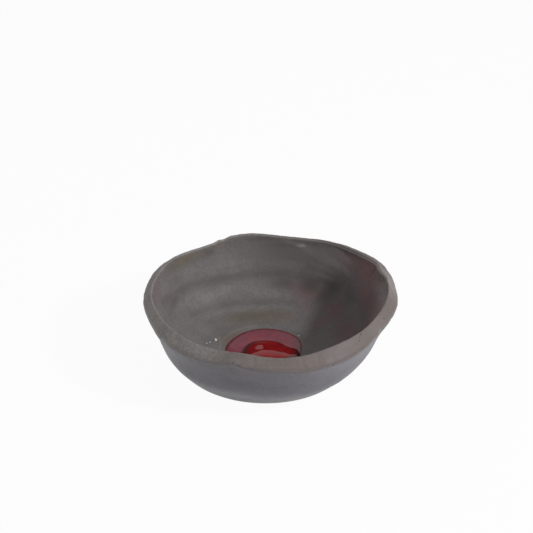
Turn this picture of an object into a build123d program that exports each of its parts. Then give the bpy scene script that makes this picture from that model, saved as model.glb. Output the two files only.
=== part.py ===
"""A hand-pinched bowl of dark, slip-burnished clay with red glass melted into its well.

The clay side is one radial profile that wanders in reach, height and lip as it goes once
round the bowl, because the mouth has slumped towards +X. The glass is a thin dished film,
a thick lump on top of it and a few beads that spat on to the clay. Millimetres, +Z up, the
origin at the middle of the flat underside. The lowest stretch of rim, at -Y, is the front.
"""

import os
from math import cos, pi, radians, sin, sqrt

from build123d import *

os.makedirs("parts", exist_ok=True)

# The clay bowl
mouth_width = 141.6  # across the crest of the rim, on average
rim_height = 49.4  # from the table to the crest, on average
base_width = 92.0  # the flat underside
base_softness = 3.0  # radius along its edge
wall = 6.5  # thickness of the side under the rim
heel_wall = 9.0  # thickness low down, where the side turns in to the floor
lip_width = 6.0  # the flattened lip slopes out from the crest by this much
lip_drop = 5.9  # and down by this much
crest_softness = 0.8  # how far back from the crest its corner is worn off
lip_softness = 1.3  # the same along the outer edge of the lip
groove_depth = 0.5  # the throwing rings inside, from ridge to hollow
groove_count = 2

# The well, where the glass lies
well_width = 52.0
well_depth = 3.4  # the sag of its round bottom
well_slope = 45  # degrees that its edge leans out from the upright
well_shift = (0.0, 1.0)  # from the middle of the base
floor = 5.0  # thickness of clay under the middle of the well
floor_step = 0.2  # the floor round the well stands this much proud of it
floor_rise = 1.6  # and climbs by this much more
floor_run = 9.0  # on this much width, before the side starts

# The glass film
film_clearance = 1.9  # it stops this far inside the edge of the well, on average
film_thickness = 1.3  # in the middle
film_edge = 0.6  # thickness at its edge

# The glass lump
lump_width = 34.5
lump_depth = 26.0
lump_height = 3.8  # above the middle of the film
lump_sag = 1.0  # its top falls by this much from the middle to the ends
lump_clearance = 2.65  # its right-hand end lies this far inside the film's edge
lump_forward = 2.2  # from the middle of the base towards the front

# The glass beads
bead_width = 1.6
bead_sink = 0.3  # how far the middle of a bead lies under the surface of the clay

# One row for each equal step round the bowl, from +X towards +Y, as shares of the mouth's
# radius, of the rim's height, of the lip's drop and of the lip's width.
rim_shares = (
    (1.035, 1.040, 1.10, 1.10),
    (1.055, 1.045, 0.55, 0.95),
    (1.065, 1.005, 0.55, 1.05),
    (1.050, 0.985, 0.65, 1.10),
    (1.015, 0.985, 1.20, 0.95),
    (1.000, 1.030, 1.25, 1.00),
    (0.965, 0.985, 1.15, 0.95),
    (0.965, 1.000, 0.95, 1.05),
    (0.945, 1.005, 0.75, 1.00),
    (0.935, 0.975, 0.85, 0.95),
    (0.925, 0.980, 1.05, 0.90),
    (0.945, 0.980, 1.10, 1.05),
    (0.955, 0.955, 1.00, 0.95),
    (0.975, 0.980, 1.00, 1.00),
    (1.025, 0.962, 1.20, 0.90),
    (1.035, 1.005, 1.35, 1.20),
    (1.035, 1.035, 1.40, 0.90),
    (1.020, 1.045, 1.00, 1.10),
)
# The outer side from the edge of the base to the outer edge of the lip, as shares of the
# reach and of the rise between them.
side_shares = ((0.14, 0.07), (0.34, 0.21), (0.57, 0.40), (0.72, 0.64))
# The stretch of the outer side that the throwing rings lie behind, as shares of its length.
rings_top_share = 0.94
rings_bottom_share = 0.36
# The film's outline, in equal steps round the well from +X, as shares of its radius.
film_shares = (0.98, 1.04, 1.02, 1.00, 0.96, 0.94, 1.02, 1.01, 1.00, 0.98, 1.00, 1.00)
# The lump's outline, as shares of its half width and of its half depth.
lump_shares = (
    (1.00, -0.10),
    (0.90, 0.16),
    (0.66, 0.32),
    (0.42, 0.62),
    (0.05, 0.92),
    (-0.42, 1.00),
    (-0.78, 0.78),
    (-0.95, 0.24),
    (-1.00, -0.30),
    (-0.80, -0.76),
    (-0.30, -0.98),
    (0.30, -1.00),
    (0.80, -0.88),
    (1.00, -0.50),
)
# The lump's side from the bottom up, as shares of its height and of its outline's size.
lump_side_shares = ((0.0, 1.0), (0.6, 0.97), (1.0, 0.87))
# The beads' places, as shares of the well's radius from the middle of the base, and their
# widths, as shares of a bead's width.
bead_shares = (
    (-1.12, 0.32, 1.20),
    (-1.24, 0.21, 1.00),
    (0.82, 0.61, 0.75),
)

mouth_radius = mouth_width / 2
base_radius = base_width / 2
well_radius = well_width / 2
film_radius = well_radius - film_clearance
well_level = floor + well_depth  # where the well's round bottom meets its edge
floor_level = well_level + floor_step
film_level = floor + film_thickness  # the middle of the film's top
lump_shift = (film_radius - lump_clearance - lump_width / 2, -lump_forward)
core_radius = well_radius / 2  # the side's sections start here, under the glass


def cap_radius(half_width, sag):
    """The radius of the sphere whose cap has this half width and this sag."""
    return (half_width**2 + sag**2) / (2 * sag)


def cap_rise(radius, reach):
    """How far a dish of this radius has risen at this reach from its middle."""
    return radius - sqrt(radius**2 - reach**2)


def radial_plane(azimuth):
    """The upright plane at an azimuth: X runs out from the middle and Y runs up."""
    out = Vector(cos(radians(azimuth)), sin(radians(azimuth)), 0)
    return Plane(origin=(0, 0, 0), x_dir=out, z_dir=out.cross(Vector(0, 0, 1)))


def lip_points(reach_share, rise_share, drop_share, width_share):
    """The crest and the lip's outer edge of one section, as sharp corners."""
    crest = Vector(mouth_radius * reach_share, rim_height * rise_share)
    return crest, crest + Vector(lip_width * width_share, -lip_drop * drop_share)


def outer_points(edge):
    """The outer side of one section, from below the foot up to the lip's worn edge."""
    foot = Vector(base_radius, 0)
    span = edge - foot
    side = [foot + Vector(span.X * x, span.Y * y) for x, y in side_shares]
    below = foot * 2 - side[0]  # the side runs on past the underside, which cuts it off
    return [below, foot, *side, edge + (side[-1] - edge).normalized() * lip_softness]


def inner_points(side, crest):
    """The inside of one section, from the worn crest down to the core."""
    steps = 2 * groove_count
    rings = []
    for step in range(steps + 1):
        down = step / steps
        share = rings_top_share + (rings_bottom_share - rings_top_share) * down
        inward = (side % share).rotate(Axis.Z, 90)
        ripple = groove_depth / 2 if step % 2 else -groove_depth / 2
        rings.append(side @ share + inward * (wall + (heel_wall - wall) * down + ripple))
    top = crest + (rings[0] - crest).normalized() * crest_softness
    heel = Vector(well_radius + floor_run, floor_level + floor_rise)
    return [top, *rings, heel, Vector(core_radius, floor_level)]


def spread(points):
    """Where points lie along the run through them, from 0 to 1."""
    runs = [(b - a).length for a, b in zip(points, points[1:])]
    return [sum(runs[:n]) / sum(runs) for n in range(len(points))]


# All sections share the spread of the mean one, so that the lofted faces stay simple.
mean_crest, mean_edge = lip_points(1, 1, 1, 1)
side_spread = spread(outer_points(mean_edge))
mean_side = Edge.make_spline(outer_points(mean_edge), parameters=side_spread)
inside_spread = spread(inner_points(mean_side, mean_crest))


def side_profile(azimuth, *shares):
    """The section of floor, side and rim at one azimuth, from the core out to the lip."""
    crest, edge = lip_points(*shares)
    outer = outer_points(edge)
    side = Edge.make_spline(outer, parameters=side_spread)
    inner = inner_points(side, crest)
    slope = (crest - edge).normalized()
    with BuildSketch(radial_plane(azimuth)) as profile:
        with BuildLine():
            add(side)
            Polyline(
                outer[-1],
                edge + slope * lip_softness,
                crest - slope * crest_softness,
                inner[0],
            )
            add(Edge.make_spline(inner, parameters=inside_spread))
            Polyline(inner[-1], (core_radius, outer[0].Y), outer[0])
        make_face()
    return profile.sketch.face()


def side_run(first, last):
    """The sections from one step to another; steps past a full turn wrap round."""
    count = len(rim_shares)
    return [side_profile(360 / count * n, *rim_shares[n % count]) for n in range(first, last + 1)]


# Each half of the side runs on past its ends by a few sections, which are cut off again, so
# that the halves meet smoothly.
half_turn = len(rim_shares) // 2
run_on = 3

with BuildPart() as back_side:
    loft(sections=side_run(-run_on, half_turn + run_on))
    split(bisect_by=Plane.XZ, keep=Keep.BOTTOM)

with BuildPart() as front_side:
    loft(sections=side_run(half_turn - run_on, 2 * half_turn + run_on))
    split(bisect_by=Plane.XZ, keep=Keep.TOP)

well_sphere = cap_radius(well_radius, well_depth)
well_middle = (*well_shift, floor + well_sphere)
on_its_side = (90, 0, 0)  # turns a sphere's seam and poles away from the dish or dome it cuts

with BuildPart() as well:
    with BuildSketch(Plane((*well_shift, floor))):
        Circle(well_radius)
    extrude(amount=well_depth)
    with Locations(well_middle):
        Sphere(well_sphere, rotation=on_its_side, mode=Mode.INTERSECT)
    extrude(faces().sort_by(Axis.Z)[-1], amount=floor_step + floor_rise, taper=-well_slope)

with BuildPart() as clay_bowl:
    add(back_side.part)
    add(front_side.part)
    with BuildSketch():
        Circle((core_radius + well_radius) / 2)
    extrude(amount=floor_level)
    add(well.part, mode=Mode.SUBTRACT)
    split(bisect_by=Plane.XY, keep=Keep.TOP)
    fillet(edges().group_by(Axis.Z)[0], base_softness)
clay_bowl.part.label = "clay_bowl"

# The film's top is a shallower dish than the well, so the film is thickest in the middle.
film_rise = cap_rise(well_sphere, film_radius) + film_edge - film_thickness
film_sphere = cap_radius(film_radius, film_rise)
film_middle = (*well_shift, film_level + film_sphere)

with BuildPart() as glaze_film:
    with BuildSketch(Plane((*well_shift, floor))):
        with BuildLine():
            turn = 2 * pi / len(film_shares)
            reaches = [film_radius * share for share in film_shares]
            Spline(
                *[(r * cos(turn * n), r * sin(turn * n)) for n, r in enumerate(reaches)],
                periodic=True,
            )
        make_face()
    extrude(amount=well_depth + film_thickness)
    with Locations(well_middle):
        Sphere(well_sphere, rotation=on_its_side, mode=Mode.INTERSECT)
    with Locations(film_middle):
        Sphere(film_sphere, rotation=on_its_side, mode=Mode.SUBTRACT)
glaze_film.part.label = "glaze_film"

# The lump's side draws in towards its top, which is the cap of a sphere.
lump_top = film_level + lump_height
lump_sphere = cap_radius(lump_width / 2, lump_sag)

with BuildPart() as glass_lump:
    for rise_share, size_share in lump_side_shares:
        across = lump_width / 2 * size_share
        deep = lump_depth / 2 * size_share
        with BuildSketch(Plane((*lump_shift, film_level + lump_height * rise_share))):
            with BuildLine():
                Spline(*[(across * x, deep * y) for x, y in lump_shares], periodic=True)
            make_face()
    loft(ruled=True)
    with Locations(film_middle):
        Sphere(film_sphere, rotation=on_its_side, mode=Mode.INTERSECT)
    with Locations((*lump_shift, lump_top - lump_sphere)):
        Sphere(lump_sphere, rotation=on_its_side, mode=Mode.INTERSECT)
glass_lump.part.label = "glass_lump"

with BuildPart() as glass_beads:
    for x, y, width_share in bead_shares:
        drop_line = Axis((well_radius * x, well_radius * y, 2 * rim_height), (0, 0, -1))
        hits = clay_bowl.part.shell().find_intersection_points(drop_line)
        point, normal = max(hits, key=lambda hit: hit[0].Z)
        with Locations(point - normal * bead_sink * width_share):
            Sphere(bead_width / 2 * width_share)
    add(clay_bowl.part, mode=Mode.SUBTRACT)
glass_beads.part.label = "glass_beads"

for piece in (clay_bowl, glaze_film, glass_lump, glass_beads):
    export_step(piece.part, f"parts/{piece.part.label}.step")
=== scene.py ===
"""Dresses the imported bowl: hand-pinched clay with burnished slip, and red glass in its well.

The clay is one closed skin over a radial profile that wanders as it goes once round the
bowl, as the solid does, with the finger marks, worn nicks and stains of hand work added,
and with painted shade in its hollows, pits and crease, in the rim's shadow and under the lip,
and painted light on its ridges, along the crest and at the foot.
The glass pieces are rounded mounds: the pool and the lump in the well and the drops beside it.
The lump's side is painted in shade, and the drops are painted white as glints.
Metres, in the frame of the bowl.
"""

from math import pi

import bpy
import numpy as np
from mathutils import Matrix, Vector, noise


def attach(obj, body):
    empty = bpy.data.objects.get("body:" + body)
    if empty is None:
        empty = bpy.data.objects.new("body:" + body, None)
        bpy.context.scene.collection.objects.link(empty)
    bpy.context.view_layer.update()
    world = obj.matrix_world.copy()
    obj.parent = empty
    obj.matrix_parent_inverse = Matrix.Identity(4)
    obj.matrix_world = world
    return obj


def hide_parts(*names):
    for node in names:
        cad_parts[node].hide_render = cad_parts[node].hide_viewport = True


bl_info = {
    "name": "Terra Sigillata Bowl",
    "version": (1, 0, 0),
    "blender": (4, 5, 0),
    "location": "View3D > Sidebar > Bowl",
    "description": "Builds a burnished clay bowl with red glass melted into its well",
    "category": "Add Mesh",
}

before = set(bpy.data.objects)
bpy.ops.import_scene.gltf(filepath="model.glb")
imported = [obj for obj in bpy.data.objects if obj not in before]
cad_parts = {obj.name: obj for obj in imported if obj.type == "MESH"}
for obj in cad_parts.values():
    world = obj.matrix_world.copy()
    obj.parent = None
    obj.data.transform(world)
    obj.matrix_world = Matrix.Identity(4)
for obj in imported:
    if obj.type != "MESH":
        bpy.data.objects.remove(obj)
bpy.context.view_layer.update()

MM = 0.001

# One row for each equal step round the bowl, from +X towards +Y, as shares of the mouth's
# radius, of the rim's height, of the lip's drop and of the lip's width.
RIM_SHARES = (
    (1.035, 1.040, 1.10, 1.10),
    (1.055, 1.045, 0.55, 0.95),
    (1.065, 1.005, 0.55, 1.05),
    (1.050, 0.985, 0.65, 1.10),
    (1.015, 0.985, 1.20, 0.95),
    (1.000, 1.030, 1.25, 1.00),
    (0.965, 0.985, 1.15, 0.95),
    (0.965, 1.000, 0.95, 1.05),
    (0.945, 1.005, 0.75, 1.00),
    (0.935, 0.975, 0.85, 0.95),
    (0.925, 0.980, 1.05, 0.90),
    (0.945, 0.980, 1.10, 1.05),
    (0.955, 0.955, 1.00, 0.95),
    (0.975, 0.980, 1.00, 1.00),
    (1.025, 0.962, 1.20, 0.90),
    (1.035, 1.005, 1.35, 1.20),
    (1.035, 1.035, 1.40, 0.90),
    (1.020, 1.045, 1.00, 1.10),
)
# The outer side from the edge of the base to the outer edge of the lip, as shares of the
# reach and of the rise between them.
SIDE_SHARES = ((0.14, 0.07), (0.34, 0.21), (0.57, 0.40), (0.72, 0.64))
# The stretch of the outer side that the inner side lies behind, as shares of its length.
RINGS_TOP_SHARE = 0.94
RINGS_BOTTOM_SHARE = 0.36
# Worn places along the rim: azimuth and half width in degrees, then how far the crest moves
# out and up, and the lip's edge out and up, as shares of the lip's width.
NICK_SHARES = (
    (17, 5.5, -0.26, -0.02, 0.00, 0.00),
    (24.5, 1.5, 0.06, -0.03, 0.00, 0.00),
    (39, 12, -0.14, -0.14, 0.00, 0.00),
    (107, 2.0, 0.00, 0.10, -0.03, 0.04),
    (114, 1.6, 0.02, 0.09, -0.03, 0.06),
    (148, 2.5, -0.03, 0.05, -0.08, 0.08),
    (216, 3.0, -0.03, 0.03, -0.05, 0.05),
    (247, 4.5, 0.00, 0.00, -0.02, -0.06),
    (256, 3.5, 0.00, 0.00, -0.04, 0.16),
    (277, 3.5, 0.00, 0.00, -0.03, 0.08),
    (325, 3.2, 0.00, 0.00, -0.10, 0.04),
    (331, 2.4, 0.00, 0.00, -0.16, 0.02),
)
# Marks that fingers left inside: lift as a share of half the rings' depth, half width as a
# share of the wall, and places along it, as azimuth in degrees and share of the rim's height.
FINGER_MARK_SHARES = (
    (-1.4, 0.40, ((50, 0.52), (74, 0.51), (91, 0.53), (118, 0.55), (132, 0.59), (149, 0.64), (172, 0.73))),
    (1.2, 0.38, ((73, 0.35), (92, 0.37), (113, 0.43), (136, 0.47), (160, 0.50))),
    (-0.9, 0.20, ((70, 0.30), (90, 0.29), (108, 0.30), (130, 0.33), (150, 0.36))),
    (0.7, 0.20, ((68, 0.26), (92, 0.25), (120, 0.27), (146, 0.31))),
    (-0.5, 0.16, ((70, 0.23), (101, 0.225), (125, 0.235), (146, 0.265))),
    (0.8, 0.28, ((98, 0.70), (110, 0.69), (124, 0.71), (138, 0.76))),
    (-0.6, 0.30, ((90, 0.78), (112, 0.80), (135, 0.83), (155, 0.86))),
    (1.0, 0.26, ((40, 0.72), (46, 0.74), (59, 0.77), (71, 0.85), (80, 0.92))),
    (-0.8, 0.22, ((42, 0.80), (52, 0.82), (62, 0.86), (72, 0.93))),
    (0.8, 0.20, ((52, 0.90), (60, 0.92), (70, 0.98))),
    (-0.7, 0.22, ((48, 0.62), (58, 0.64), (72, 0.70), (88, 0.74))),
    (0.6, 0.26, ((50, 0.58), (66, 0.60), (84, 0.63), (100, 0.64))),
    (-0.8, 0.30, ((188, 0.62), (214, 0.66), (250, 0.60), (286, 0.64), (320, 0.60))),
    (0.8, 0.34, ((190, 0.42), (226, 0.46), (262, 0.43), (300, 0.47), (346, 0.44))),
    (-0.7, 0.22, ((-6, 0.50), (14, 0.55), (34, 0.52))),
)
# Patches of another tone inside: azimuth, share of the rim's height, half width in degrees,
# half height as a share of the rim's height, and strength.
RED_PATCH_SHARES = (
    (26, 0.92, 22, 0.17, 1.00),
    (12, 0.72, 18, 0.17, 0.85),
    (352, 0.90, 20, 0.18, 0.90),
    (37, 0.26, 9, 0.05, 0.60),
    (34, 0.37, 11, 0.08, 0.95),
    (8, 0.34, 16, 0.10, 0.80),
    (352, 0.60, 18, 0.20, 0.70),
    (62, 0.42, 12, 0.09, 0.75),
    (58, 0.31, 9, 0.05, 0.35),
    (174, 0.88, 10, 0.10, 0.45),
    (72, 0.22, 16, 0.02, 0.30),
    (144, 0.160, 16, 0.016, 0.45),
    (212, 0.80, 16, 0.12, 0.40),
    (290, 0.70, 22, 0.14, 0.45),
)
OLIVE_PATCH_SHARES = (
    (138, 0.90, 16, 0.07, 0.80),
    (160, 0.62, 12, 0.10, 0.35),
    (100, 0.215, 34, 0.03, 0.80),
    (150, 0.165, 26, 0.018, 0.90),
    (86, 0.196, 9, 0.02, 0.60),
    (116, 0.95, 8, 0.05, 0.50),
    (52, 0.55, 8, 0.12, 0.30),
    (260, 0.50, 24, 0.12, 0.45),
)
# Dark patches: some are smoky slip, and some are painted shade: under the crest at the back (88°), in the
# right rim's shadow (46°, 30° and 8°) and in the crease under the lip (22.5°).
DARK_AND_SHADE_PATCH_SHARES = (
    (88, 0.94, 13, 0.05, 0.60),
    (61, 0.47, 8, 0.07, 0.90),
    (77, 0.45, 10, 0.07, 0.60),
    (64, 0.63, 8, 0.06, 0.45),
    (158, 0.62, 7, 0.05, 0.40),
    (150, 0.77, 10, 0.06, 0.30),
    (120, 0.88, 4, 0.06, 0.50),
    (60, 0.98, 8, 0.05, 0.40),
    (46, 1.00, 6, 0.08, 0.65),
    (46, 0.50, 10, 0.16, 0.75),
    (30, 0.50, 12, 0.14, 0.55),
    (22.5, 0.95, 1.6, 0.09, 0.60),
    (80, 0.62, 16, 0.10, 0.30),
    (80, 0.80, 26, 0.16, 0.60),
    (110, 0.78, 22, 0.10, 0.15),
    (8, 0.42, 34, 0.20, 0.45),
)
PALE_PATCH_SHARES = (
    (358, 0.93, 14, 0.11, 0.90),
    (14, 0.98, 8, 0.05, 0.45),
    (110, 0.70, 9, 0.05, 0.10),
    (71, 0.87, 2.5, 0.02, 0.90),
    (128, 0.42, 16, 0.06, 0.30),
)
# Tones along the lip: azimuth and half width in degrees, and strength.
LIP_RED_SHARES = ((228, 14, 0.25), (300, 30, 0.22), (350, 26, 0.25), (246, 6, 0.35), (44, 14, 0.80))
LIP_OLIVE_SHARES = ((236, 10, 0.25), (249, 5, 0.35), (276, 14, 0.25), (318, 8, 0.35))
# Painted shade on the lip: on its right side, which the lamp lights strongly, and at its back right.
LIP_PAINTED_SHADE_SHARES = ((308, 26, 0.42), (342, 20, 0.36), (42, 15, 1.00))
# Pale tones along the lip; those on its front left (208° and 238°) are painted light where the lamp leaves
# the lip unlit.
LIP_PALE_AND_LIT_SHARES = ((6, 9, 0.65), (100, 30, 0.15), (208, 34, 0.90), (238, 14, 0.95), (176, 16, 0.40))
# The stains, each with its patches inside and its tones along the lip; the dark and the pale
# ones also carry painted shade and painted light.
STAINS_AND_PAINTED_LIGHT = {
    "red": (RED_PATCH_SHARES, LIP_RED_SHARES),
    "olive": (OLIVE_PATCH_SHARES, LIP_OLIVE_SHARES),
    "dark": (DARK_AND_SHADE_PATCH_SHARES, LIP_PAINTED_SHADE_SHARES),
    "pale": (PALE_PATCH_SHARES, LIP_PALE_AND_LIT_SHARES),
}
# Two more patches, written the same way: a crease inside under the lip, and painted shade outside under the
# lip.
CREASE_SHARES = ((22.5, 0.96, 1.2, 0.07, 1.00),)
UNDER_LIP_SHADE_SHARES = ((246, 0.72, 30, 0.16, 0.35),)
# Pits in the clay: azimuth, share of the rim's height and radius as a share of the wall.
PIT_SHARES = (
    (335.7, 0.978, 0.11),
    (299.0, 0.822, 0.12),
    (317.8, 1.018, 0.09),
    (317.1, 0.996, 0.10),
    (316.3, 0.974, 0.10),
    (315.4, 0.950, 0.09),
    (256.8, 0.876, 0.09),
    (259.0, 0.862, 0.10),
    (226.0, 0.700, 0.07),
    (288.0, 0.520, 0.07),
    (120.0, 0.600, 0.09),
    (40.0, 0.700, 0.10),
)
# A pit's depth as a share of the clay's relief.
PIT_RELIEF_SHARE = 6.0
# How light the clay's tone gets at the least and the most of its clouds, burnish marks, grain
# and pits in turn; the pits' darkening is painted shade.
SHADE_SHARES = ((0.90, 1.10), (0.95, 1.05), (0.89, 1.11), (1.00, 0.35))
# How strong each stain, painted shade and painted light gets at the least and the most of clouds and grain
# together.
RAGGED_SHARES = (0.75, 1.20)
# How much the burnish marks add to the roughness or take from it.
MARKS_ROUGHNESS = 0.05
# The film's outline, in equal steps round the well from +X, as shares of its radius.
FILM_SHARES = (0.94, 1.01, 1.01, 1.00, 0.97, 0.94, 0.97, 0.98, 1.00, 0.98, 1.00, 0.96)
# The lump's outline, as shares of its half width and of its half depth.
LUMP_SHARES = (
    (1.00, -0.10),
    (0.90, 0.16),
    (0.66, 0.32),
    (0.42, 0.66),
    (0.05, 0.97),
    (-0.42, 1.03),
    (-0.78, 0.78),
    (-0.95, 0.24),
    (-1.00, -0.30),
    (-0.80, -0.76),
    (-0.30, -0.98),
    (0.30, -1.00),
    (0.80, -0.88),
    (1.00, -0.50),
)
# Swellings and hollows of the lump's top: place as shares of the lump's half width and half
# depth, the swelling's half width as a share of the lump's, and lift as a share of its height.
SWELL_SHARES = (
    (-0.40, 0.46, 0.24, 0.15),
    (0.30, 0.10, 0.30, -0.05),
    (0.80, -0.55, 0.30, 0.05),
)
# The beads' places, as shares of the well's radius, and their widths, as shares of a
# bead's width.
BEAD_SHARES = (
    (-1.12, 0.34, 1.20),
    (-1.25, 0.23, 0.52),
    (-1.32, 0.16, 0.40),
    (-1.04, 0.45, 0.40),
    (0.82, 0.60, 0.45),
)


def length(name, description, millimetres):
    """A size property in metres, given in millimetres."""
    return bpy.props.FloatProperty(
        name=name,
        description=description,
        default=millimetres * MM,
        min=0,
        precision=5,
        subtype="DISTANCE",
        unit="LENGTH",
    )


def colour(name, description, *levels):
    """A colour property, given as sRGB levels from 0 to 255."""
    shares = [part / 255 for part in levels]
    linear = [c / 12.92 if c <= 0.04045 else ((c + 0.055) / 1.055) ** 2.4 for c in shares]
    return bpy.props.FloatVectorProperty(
        name=name,
        description=description,
        default=linear,
        size=3,
        min=0,
        max=1,
        subtype="COLOR",
    )


def level(name, description, default):
    """A plain number property that isn't negative."""
    return bpy.props.FloatProperty(name=name, description=description, default=default, min=0)


class BowlClay(bpy.types.PropertyGroup):
    mouth_width: length("Mouth width", "Across the crest of the rim, on average", 141.6)
    rim_height: length("Rim height", "From the table to the crest, on average", 49.4)
    base_width: length("Base width", "The flat underside", 92)
    base_softness: length("Base softness", "Reach of the rounding along the base's edge", 1.6)
    wall: length("Wall", "Thickness of the side under the rim", 6.5)
    heel_wall: length("Heel wall", "Thickness where the side turns in to the floor", 9)
    lip_width: length("Lip width", "How far the lip slopes out from the crest", 6)
    lip_drop: length("Lip drop", "How far the lip slopes down from the crest", 5.9)
    crest_softness: length("Crest softness", "Half the reach of the rounding of the crest", 0.8)
    lip_softness: length("Lip softness", "Half the reach of the rounding of the lip's edge", 1.3)
    groove_depth: length("Groove depth", "The throwing rings, from ridge to hollow", 0.5)
    groove_count: bpy.props.IntProperty(
        name="Grooves", description="How many throwing rings lie inside", default=2, min=1
    )
    outside: colour("Outside", "The burnished slip outside", 104, 101, 109)
    inside: colour("Inside", "The slip inside", 112, 108, 108)
    band: colour("Lip", "The barer clay of the lip", 122, 114, 111)
    red: colour("Reddish", "Where iron shows through the slip", 116, 84, 85)
    olive: colour("Olive", "Where the slip is thin and brownish", 106, 96, 80)
    # Besides the slip's own patches, the dark colour serves for painted shade and the pale one for painted
    # light.
    dark: colour("Dark", "Where the slip lies thick and smoky", 66, 63, 60)
    pale: colour("Pale", "Where the slip is rubbed thin", 146, 141, 138)
    cloud_size: length("Cloud size", "The cloudy change of tone", 11)
    grain_size: length("Grain size", "The fine change of tone", 1.6)
    mark_spacing: length("Mark spacing", "The height of one mark of burnishing", 0.9)
    relief: length("Relief", "How high the grain and the marks stand", 0.08)
    outside_roughness: level("Outside roughness", "The burnished slip outside", 0.47)
    band_roughness: level("Lip roughness", "The barer clay of the lip", 0.60)
    inside_roughness: level("Inside roughness", "The slip inside", 0.74)


class BowlWell(bpy.types.PropertyGroup):
    well_width: length("Well width", "The round well in the floor", 52)
    well_depth: length("Well depth", "The sag of the well's bottom", 3.4)
    well_shift: length("Well shift", "From the middle of the base towards the back", 1)
    floor: length("Floor", "Thickness of clay under the middle of the well", 5)
    floor_step: length("Floor step", "The floor stands this much proud of the well", 0.2)
    floor_rise: length("Floor rise", "The floor climbs by this much more", 1.6)
    floor_run: length("Floor run", "On this much width, before the side starts", 9)
    ledge_softness: length("Ledge softness", "Rounding of the well's edge", 0.35)


class BowlGlass(bpy.types.PropertyGroup):
    film_width: length("Film width", "The pool of thin glass", 48.2)
    film_thickness: length("Film thickness", "In the middle", 1.3)
    film_edge: length("Film edge", "Thickness at its edge", 0.4)
    lump_width: length("Lump width", "The thick glass, from side to side", 34.5)
    lump_depth: length("Lump depth", "From front to back", 26)
    lump_height: length("Lump height", "Above the middle of the film", 3.8)
    lump_sag: length("Lump sag", "Its top falls by this much to its ends", 1)
    lump_lean: length("Lump lean", "Its top falls by this much from front to back", 1.9)
    lump_roll: length("Lump roll", "How strongly its top turns down at the front", 2.2)
    lump_side: length("Lump to the side", "From the middle of the base to the right", 4.2)
    lump_front: length("Lump to the front", "From the middle of the base forwards", 2.2)
    bead_width: length("Bead width", "The drops of glass beside the well", 1.6)
    film_colour: colour("Film", "The thin glass over the clay", 146, 46, 68)
    film_rim: colour("Film's rim", "Where the thin glass ends", 118, 56, 62)
    lump_colour: colour("Lump", "The thick glass", 160, 0, 8)
    # The lump's darker side is painted shade, with the dark wall that it reflects.
    lump_shaded_side: colour("Lump's side", "The side of the thick glass", 88, 3, 6)
    # The drops are painted near white, a painted glint on each.
    bead_glint_colour: colour("Beads", "The drops of glass", 240, 238, 238)


class BowlStudio(bpy.types.PropertyGroup):
    focal_length: level("Focal length", "In millimetres on a 36 mm sensor", 111.96)
    floor_colour: colour("Floor", "The pale table", 244, 243, 243)
    key_power: level("Key lamp", "Power of the lamp at the right", 5.4)
    fill_level: level("Fill", "Light from all round", 0.34)
    upper_level: level("Upper level", "What glass and slip reflect from high up", 0.5)


def natural_spline(places, samples):
    """Weights that turn rows of control values into samples of the smooth curve through them."""
    places = np.asarray(places, float)
    count = len(places)
    gaps = np.diff(places)
    system = np.eye(count)
    change = np.zeros((count, count))
    for n in range(1, count - 1):
        before, after = gaps[n - 1 : n + 1]
        system[n, n - 1 : n + 2] = before, 2 * (before + after), after
        change[n, n - 1 : n + 2] = 6 / before, -6 / before - 6 / after, 6 / after
    bend = np.linalg.solve(system, change)
    at = np.clip(np.searchsorted(places, samples, side="right") - 1, 0, count - 2)
    gap = gaps[at][:, None]
    on = (samples - places[at])[:, None] / gap
    off = 1 - on
    whole = np.eye(count)
    line = off * whole[at] + on * whole[at + 1]
    return line + gap**2 / 6 * ((off**3 - off) * bend[at] + (on**3 - on) * bend[at + 1])


def round_spline(count, around):
    """The same for evenly spaced control values that close on themselves in a ring."""
    places = np.arange(-count, 2 * count + 1)
    samples = np.arange(around) * count / around
    weights = natural_spline(places, samples)
    closed = np.zeros((around, count))
    for column, place in enumerate(places):
        closed[:, place % count] += weights[:, column]
    return closed


def spread(points):
    """Where points lie along the run through them, from 0 to 1."""
    runs = np.linalg.norm(np.diff(points, axis=0), axis=1)
    return np.concatenate([[0], np.cumsum(runs)]) / runs.sum()


def unit(vectors):
    """Vectors brought to length one."""
    return vectors / np.linalg.norm(vectors, axis=-1, keepdims=True)


def straight(start, end, steps):
    """Rows from one ring of points towards another, without the last."""
    on = np.linspace(0, 1, steps, endpoint=False)[:, None, None]
    return start + (end - start) * on


def rounded(before, corner, after, steps):
    """Rows round a softened corner, without its two ends."""
    on = np.linspace(0, 1, steps + 2)[1:-1, None, None]
    return (1 - on) ** 2 * before + 2 * on * (1 - on) * corner + on**2 * after


def soft_least(a, b, softness):
    """The lower of two heights, with a rounded turn from one to the other."""
    blend = np.clip(0.5 + (b - a) / (2 * softness), 0, 1)
    return b + (a - b) * blend - softness * blend * (1 - blend)


def smooth_step(values, start, end):
    """0 before start, 1 after end and a smooth climb between them."""
    on = np.clip((values - start) / (end - start), 0, 1)
    return on * on * (3 - 2 * on)


def cap_radius(half_width, sag):
    """The radius of the sphere whose cap has this half width and this sag."""
    return (half_width**2 + sag**2) / (2 * sag)


def cap_rise(radius, reach):
    """How far a dish of this radius has risen at this reach from its middle."""
    return radius - np.sqrt(radius**2 - reach**2)


def bell(away, half_width):
    """A soft hump: 1 in its middle, about a third at its half width and 0 far off."""
    return np.exp(-((away / half_width) ** 2))


def ripples(points, size, seed=0.0):
    """Smooth noise over points, from about -1 to 1, with features of this size.

    Another seed gives another pattern of the same kind.
    """
    flat = points.reshape(-1, 3) / size + seed
    values = [noise.noise(point) for point in flat.tolist()]
    return np.array(values).reshape(points.shape[:-1])


def turn_to(degrees, azimuth):
    """How far round the bowl, the short way, places lie from an azimuth."""
    return (degrees - azimuth + 180) % 360 - 180


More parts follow.
